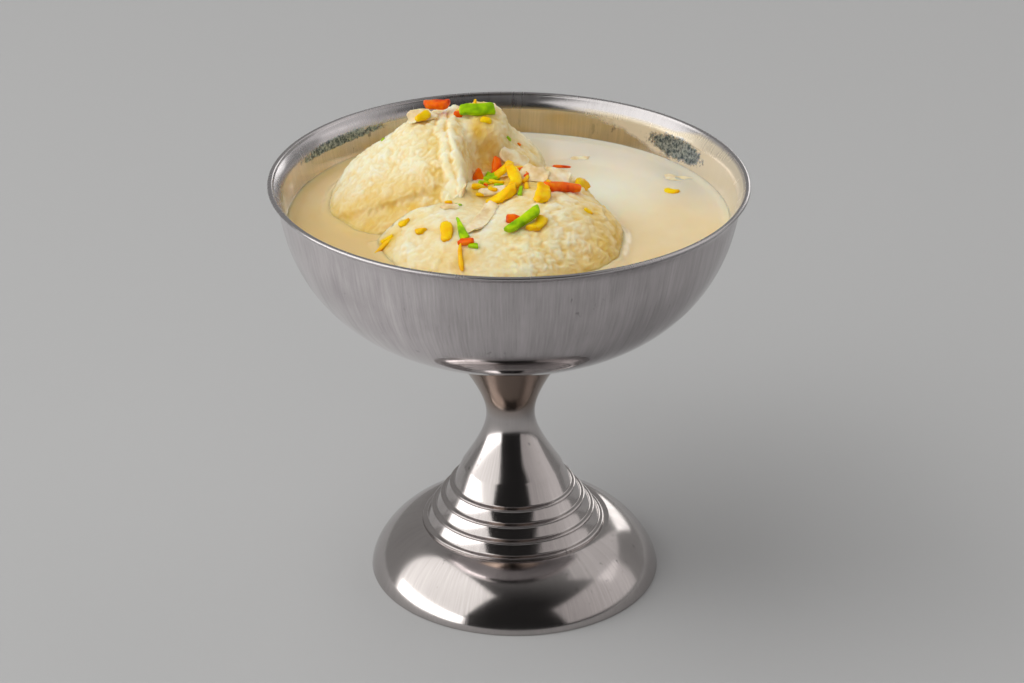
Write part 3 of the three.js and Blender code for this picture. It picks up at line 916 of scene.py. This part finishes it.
# Each kind's main, dark and light colours of 0 to 255, its roughness, and how deep light goes
TOPPING_LOOKS = {
    "nut_green": ((160, 206, 0), (122, 170, 0), (196, 228, 10), 0.4, 0.4),
    "peel_yellow": ((255, 204, 0), (255, 180, 0), (255, 220, 10), 0.32, 0.5),
    "peel_orange": ((250, 104, 0), (212, 58, 0), (254, 138, 0), 0.34, 0.4),
    "almond": ((246, 226, 182), (228, 198, 144), (254, 244, 218), 0.28, 0.6),
    "saffron": ((250, 184, 4), (232, 150, 0), (252, 206, 30), 0.4, 0.3),
}

# Each topping's kind, x, y, heading, length, width, lean, roll, lift, taper and bend,
# by what it lies on. Lean lifts its far end and roll its left side, both in degrees.
TOPPINGS = {
    "back": [
        ("almond", -17.9, 15.6, 20, 5.8, 3.8, 0, 25, 0.6, 0.2, 0),
        ("peel_yellow", -17.5, 14.6, 42, 3.4, 1.5, 0, 25, 0.9, -0.3, 0.2),
        ("peel_orange", -14.9, 19.0, -6, 4.8, 2.3, 0, 15, 2.1, -0.15, 0),
        ("peel_orange", -10.4, 16.9, -5, 1.7, 1.8, 0, 0, 0.1, 0, 0),
        ("peel_yellow", -9.9, 18.2, 0, 1.7, 1.2, 0, 0, 0.4, 0, 0),
        ("nut_green", -6.4, 16.4, 1, 7.2, 2.5, -7, 20, 0.4, 0, 0.1),
        ("peel_yellow", -6.8, 18.6, 70, 1.3, 0.9, 40, 0, 0.7, 0.5, 0),
        ("peel_yellow", -4.7, 14.2, -18, 2.3, 1.6, 0, 0, -0.3, 0.2, 0),
        ("nut_green", -0.2, 14.3, 35, 1.4, 0.7, 0, 0, 0, 0, 0),
        ("peel_orange", 2.0, 17.8, -30, 0.8, 0.6, 0, 0, 0, 0, 0),
        ("nut_green", -25.7, 15.0, 60, 0.9, 0.5, 0, 0, 0, 0, 0),
        ("almond", 0.8, 11.8, 12, 6.6, 3.4, 0, 0, 0.1, 0.2, 0.3),
        ("peel_orange", -2.6, 9.6, 88, 3.2, 2.2, 10, 0, 0.4, 0.2, 0),
        ("peel_orange", -0.4, 10.2, -10, 1.6, 0.9, 0, 0, 0.1, 0, 0),
        ("peel_orange", -6.0, 5.8, -24, 3.8, 2.8, 0, 15, 0.5, 0.2, 0),
        ("nut_green", -4.1, 7.8, -15, 1.4, 1.1, 0, 0, 0.1, 0, 0),
        ("peel_yellow", 1.9, 10.6, 28, 3.0, 1.0, 0, 0, 0.3, 0.3, 0.2),
        ("peel_yellow", 5.6, 12.6, -24, 4.2, 2.2, 0, 10, 0.4, 0.2, 0.2),
    ],
    "front": [
        ("nut_green", -3.3, 2.2, 38, 3.4, 1.9, 8, 20, 0.5, 0.1, 0),
        ("peel_yellow", -0.7, 3.8, 48, 5.4, 2.1, 18, 0, 1.4, 0.1, 0.3),
        ("peel_yellow", 1.2, -1.6, 98, 7.8, 2.5, 15, 0, 1.5, 0.1, 0.7),
        ("peel_yellow", -0.8, -7.6, 24, 6.2, 2.7, 0, 10, 0.6, -0.2, 0.4),
        ("almond", -3.4, -4.4, 20, 5.6, 2.7, 0, 0, 0.1, 0.2, 0.2),
        ("peel_yellow", -5.4, -5.8, 18, 2.4, 1.0, 0, 0, 0.1, 0.3, 0),
        ("peel_orange", -4.6, -2.9, -36, 0.8, 0.5, 0, 0, 0.3, 0, 0),
        ("peel_yellow", -6.2, -3.8, 15, 2.6, 1.5, 0, 0, 0.1, 0.2, 0.1),
        ("peel_yellow", -3.2, -4.4, -20, 1.8, 1.2, 0, 0, 0.4, 0.2, 0),
        ("nut_green", -5.0, -1.8, 20, 2.2, 1.1, 0, 0, 0.2, 0.3, 0),
        ("peel_orange", 3.6, 0.4, 70, 1.8, 0.9, 0, 0, 0.6, 0.2, 0),
        ("saffron", 4.2, 1.6, 55, 3.0, 0.7, 0, 0, 0.9, 0.3, 0.3),
        ("saffron", 0.2, -4.8, -40, 2.8, 0.6, 0, 0, 0.2, 0.3, 0.2),
        ("peel_yellow", 6.4, -5.6, -10, 1.6, 1.0, 0, 0, 0.1, 0.2, 0),
        ("peel_yellow", -11.8, -10.0, 10, 1.5, 1.0, 0, 0, 0.1, 0.2, 0),
        ("nut_green", 2.3, -6.9, 80, 2.6, 0.9, 12, 0, 0.2, 0.2, 0),
        ("peel_yellow", -2.6, -0.4, -10, 3.2, 1.2, 0, 0, 0.2, 0.3, 0.2),
        ("peel_yellow", -4.4, -1.6, 25, 2.0, 0.9, 0, 0, 0.2, 0.2, 0),
        ("nut_green", -2.0, -2.4, 10, 1.8, 0.8, 0, 0, 0.2, 0.2, 0),
        ("peel_yellow", 3.4, -1.6, 60, 2.6, 1.1, 10, 0, 0.4, 0.3, 0.2),
        ("peel_orange", 2.6, 4.4, 20, 2.6, 1.1, 0, 0, 0.5, 0.2, 0.2),
        ("peel_yellow", 8.2, -3.2, -30, 2.2, 1.2, 0, 0, 0.3, 0.2, 0.2),
        ("peel_yellow", 3.5, -4.2, 88, 2.4, 1.1, 15, 0, 0.2, 0.2, 0),
        ("almond", 4.9, 0.2, -12, 6.2, 4.8, 0, 26, 0.6, 0.2, 0.3),
        ("almond", 9.9, 0.6, 2, 5.0, 4.4, 0, 26, 0.5, 0.2, 0),
        ("nut_green", 11.3, 3.6, -24, 2.0, 0.8, 0, 0, 0.2, 0, 0),
        ("peel_yellow", 14.3, 1.6, 0, 3.1, 2.9, 0, 15, 0.3, 0, 0),
        ("peel_yellow", 6.6, -10.2, 84, 5.0, 3.4, 18, 0, 0.7, 0.2, 0.2),
        ("peel_orange", 10.4, -5.4, 17, 7.8, 2.0, 0, 20, 0.7, 0.1, 0.2),
        ("peel_yellow", 19.3, 0.6, -30, 2.4, 0.7, 0, 0, 0, 0.3, 0.2),
        ("peel_yellow", 15.4, -12.6, -12, 2.0, 1.0, 0, 0, 0, 0, 0),
        ("peel_orange", 1.0, -19.2, -8, 3.2, 1.9, 0, 15, 0.2, 0.2, 0),
        ("peel_yellow", 5.8, -20.6, 62, 5.4, 2.5, 0, 0, 0.1, 0.1, 0.7),
        ("nut_green", 2.9, -21.0, 40, 8.2, 1.6, 6, 10, 1.0, -0.3, 0.1),
        ("almond", -4.7, -16.6, 71, 12.8, 3.6, 0, 7, 0.22, 0.1, 0.4),
        ("peel_yellow", -11.9, -21.4, 90, 5.6, 2.4, 10, 0, 0.1, 0.1, 0.2),
        ("nut_green", -9.2, -21.0, 104, 6.4, 2.3, 8, 0, 0.3, 0.8, 0),
        ("peel_orange", -8.0, -25.6, -16, 2.9, 1.5, 0, 10, 0.3, 0.2, 0.2),
        ("nut_green", -6.6, -26.7, -20, 1.7, 1.1, 0, 0, 0.1, 0, 0),
        ("saffron", -9.2, -29.0, -86, 6.6, 0.8, 0, 0, 0.1, -0.5, 0.3),
        ("peel_yellow", -20.4, -13.8, -30, 2.2, 1.9, 0, 0, -0.1, 0, 0),
        ("peel_yellow", -17.1, -19.1, -20, 2.1, 1.7, 0, 0, -0.1, 0, 0),
        ("peel_yellow", -23.6, -15.9, 10, 2.8, 1.3, 0, 0, 0, 0.2, 0.2),
        ("saffron", -24.4, -17.4, 32, 6.0, 1.0, 0, 0, 0.1, -0.7, 0.3),
        ("almond", -11.4, -11.6, 0, 4.2, 2.4, 0, 0, -0.1, 0.2, 0),
        ("nut_green", -9.9, -11.0, -35, 1.4, 0.7, 0, 0, 0.1, 0, 0),
        ("almond", -8.9, -6.6, 5, 3.7, 3.2, 0, 15, 0, 0.2, 0),
    ],
    "milk": [
        ("peel_yellow", 33.3, 13.1, 2, 3.0, 2.0, 0, 0, -0.3, 0.2, 0),
        ("almond", 34.6, 20.6, -18, 6.4, 3.2, 0, 0, -0.32, 0.2, 0),
        ("saffron", 29.8, 1.2, 4, 2.6, 1.0, 0, 0, -0.25, 0.2, 0),
        ("peel_orange", 10.9, 26.0, -6, 3.8, 0.9, 0, 0, -0.1, 0.2, 0.1),
        ("almond", 14.6, 31.0, 4, 5.0, 2.6, 0, 0, -0.32, 0.2, 0),
    ],
}
BEARERS = {"back": "dumpling_back", "front": "dumpling_front", "milk": "milk"}


def lay(points, tree, x, y, heading, lean, roll, lift, length, width):
    """Lays a topping on what is under it, tilted as the surface is between its ends and sides."""

    def ground(way, by):
        start = Vector((x + way.x * by, y + way.y * by, ABOVE_ALL))
        hit = tree.ray_cast(start, Vector((0, 0, -1)))[0]
        return hit or Vector((start.x, start.y, MILK_LEVEL))

    along = Vector((math.cos(math.radians(heading)), math.sin(math.radians(heading)), 0))
    across = Vector((-along.y, along.x, 0))
    x_axis = (ground(along, length * 0.35) - ground(along, -length * 0.35)).normalized()
    slope = ground(across, width * 0.4 + 0.3) - ground(across, -width * 0.4 - 0.3)
    z_axis = x_axis.cross(slope).normalized()
    y_axis = z_axis.cross(x_axis)
    turn = Matrix((x_axis, y_axis, z_axis)).transposed()
    turn = turn @ Matrix.Rotation(-math.radians(lean), 3, "Y")
    turn = turn @ Matrix.Rotation(math.radians(roll), 3, "X")
    place = ground(along, 0) + z_axis * lift
    return points @ np.array(turn).T + np.array(place)


def make_toppings(trees):
    """One piece for each kind, with every topping of that kind in it."""
    materials = {kind: topping_material(kind, *look) for kind, look in TOPPING_LOOKS.items()}
    gathered = {kind: ([], [], set()) for kind in KINDS}
    for bearer, rows in TOPPINGS.items():
        for number, row in enumerate(rows):
            kind, x, y, heading, length, width, lean, roll, lift, taper, bend = row
            shape = dict(KINDS[kind])
            shape["depth"] = min(shape["depth"], THICKNESS_OF_WIDTH * width)
            seed = number * 3.7 + len(rows)
            points, faces = sliver(length, width, **shape, taper=taper, bend=bend, seed=seed)
            raised = lift + shape["depth"] * RAISED_OF_THICKNESS
            placed = lay(points, trees[bearer], x, y, heading, lean, roll, raised, length, width)
            all_points, all_faces, bearers = gathered[kind]
            start = sum(len(p) for p in all_points)
            all_points.append(placed)
            all_faces.extend(tuple(start + i for i in face) for face in faces)
            bearers.add(BEARERS[bearer])
    for kind, (all_points, all_faces, bearers) in gathered.items():
        piece = add_mesh(kind + "_bits", np.vstack(all_points), all_faces, materials[kind])
        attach(piece, "root")
        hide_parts(*sorted(bearers))


# The stage, whose floor and lamps are measured in metres

CUP_MIDDLE = Vector((0, 0, 0.07))
FLOOR_HALF = 4.0


def make_floor():
    """A plain pale floor under the cup."""
    corners = np.array([(-1, -1, 0), (1, -1, 0), (1, 1, 0), (-1, 1, 0)]) * FLOOR_HALF
    shader = Shader("floor", {"Roughness": 0.75, "Base Color": colour(184, 185, 186)})
    floor = add_mesh("floor", corners / MM, [(0, 1, 2, 3)], shader.material)


def make_camera():
    """The photograph's view, looking 26 degrees down."""
    right = Vector((1, 0, 0))
    ahead = Vector((0, math.cos(CAMERA_PITCH), -math.sin(CAMERA_PITCH)))
    up = Vector((0, math.sin(CAMERA_PITCH), math.cos(CAMERA_PITCH)))
    tilted_right = right * math.cos(CAMERA_ROLL) + up * math.sin(CAMERA_ROLL)
    tilted_up = up * math.cos(CAMERA_ROLL) - right * math.sin(CAMERA_ROLL)
    data = bpy.data.cameras.new("camera")
    data.sensor_width = SENSOR_WIDTH
    data.lens = FOCAL_PIXELS / PHOTO_WIDTH * SENSOR_WIDTH
    data.clip_end = 100
    camera = bpy.data.objects.new("camera", data)
    bpy.context.scene.collection.objects.link(camera)
    turn = Matrix((tilted_right, tilted_up, -ahead)).transposed().to_4x4()
    camera.matrix_world = Matrix.Translation(CAMERA_PLACE * MM) @ turn
    bpy.context.scene.camera = camera


def add_panel(
    name, azimuth, elevation, distance, width, height, power, tint, mirrored=True, lit=True
):
    """A soft panel of light that faces the cup's middle. Azimuth 0 is the near side, 90 the left.

    A panel that isn't mirrored only lights matt surfaces, and one that isn't lit only shines
    in glossy ones.
    """
    a, e = math.radians(azimuth), math.radians(elevation)
    way = Vector((-math.sin(a) * math.cos(e), -math.cos(a) * math.cos(e), math.sin(e)))
    data = bpy.data.lights.new(name, "AREA")
    data.shape = "RECTANGLE"
    data.size = width
    data.size_y = height
    data.energy = power
    data.color = tint
    lamp = bpy.data.objects.new(name, data)
    bpy.context.scene.collection.objects.link(lamp)
    lamp.location = way * distance + CUP_MIDDLE
    lamp.rotation_mode = "QUATERNION"
    lamp.rotation_quaternion = (-way).to_track_quat("-Z", "Y")
    lamp.visible_glossy = mirrored
    lamp.visible_diffuse = lit


def make_lights():
    """Soft window light from the left and from above, a dim room behind, darkness in front.

    Each panel's numbers are its azimuth and elevation in degrees, its distance, width and
    height in metres, and its watts.
    """
    add_panel("key", 73, 30, 1.4, 1.9, 1.9, 15.7, (1.0, 0.985, 0.96))
    add_panel("side", -75, 20, 1.5, 2.2, 1.0, 3.6, (1.0, 0.95, 0.94))
    add_panel("rear", -120, 45, 1.5, 1.4, 1.0, 2.0, (1.0, 0.96, 0.95))
    add_panel("low", 70, 4, 1.6, 2.0, 0.6, 8.5, (1.0, 0.98, 0.97), lit=False)
    add_panel("glint", -156, 14, 1.6, 0.6, 0.45, 1.5, (1.0, 0.98, 0.96))
    add_panel("top", 90, 62, 1.4, 1.4, 1.3, 6.9, (1.0, 0.99, 0.97), mirrored=False)
    add_panel("fill", 12, 50, 2.0, 2.2, 1.8, 7.6, (1.0, 0.99, 0.97), mirrored=False)
    world = bpy.data.worlds.new("world")
    bpy.context.scene.world = world
    world.use_nodes = True
    tree = world.node_tree
    background = tree.nodes["Background"]
    direction = tree.nodes.new("ShaderNodeTexCoord").outputs["Generated"]
    parts = tree.nodes.new("ShaderNodeSeparateXYZ")
    tree.links.new(direction, parts.inputs[0])
    ramp = tree.nodes.new("ShaderNodeMapRange")
    ramp.interpolation_type = "SMOOTHSTEP"
    ends = {"From Min": -0.7, "From Max": 0.2, "To Min": 0.02, "To Max": 0.30}
    for socket, value in ends.items():
        ramp.inputs[socket].default_value = value
    tree.links.new(parts.outputs["Y"], ramp.inputs[0])
    tree.links.new(ramp.outputs["Result"], background.inputs["Strength"])
    background.inputs["Color"].default_value = (1.0, 0.985, 0.97, 1.0)


def main():
    make_camera()
    make_lights()
    make_floor()
    bowl = make_bowl()
    foot = make_foot()
    cheese = cheese_material()
    back = make_dumpling("back", BACK, back_distance, back_relief, back_saffron_and_shade, cheese)
    front = make_dumpling("front", FRONT, front_distance, front_relief, front_saffron_and_shade, cheese)
    milk = make_milk((back, front), milk_material())
    replaced = {
        bowl: ("bowl", "bowl_steel"),
        foot: ("foot", "foot_steel"),
        back: ("dumpling_back", "dumpling"),
        front: ("dumpling_front", "dumpling"),
        milk: ("milk", "milk"),
    }
    for piece, (node, slot) in replaced.items():
        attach(piece, "root")
        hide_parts(node)
    trees = {"back": tree_of(back), "front": tree_of(front), "milk": tree_of(milk)}
    make_toppings(trees)
    bpy.context.scene.view_settings.view_transform = "Standard"
    bpy.context.view_layer.update()


main()
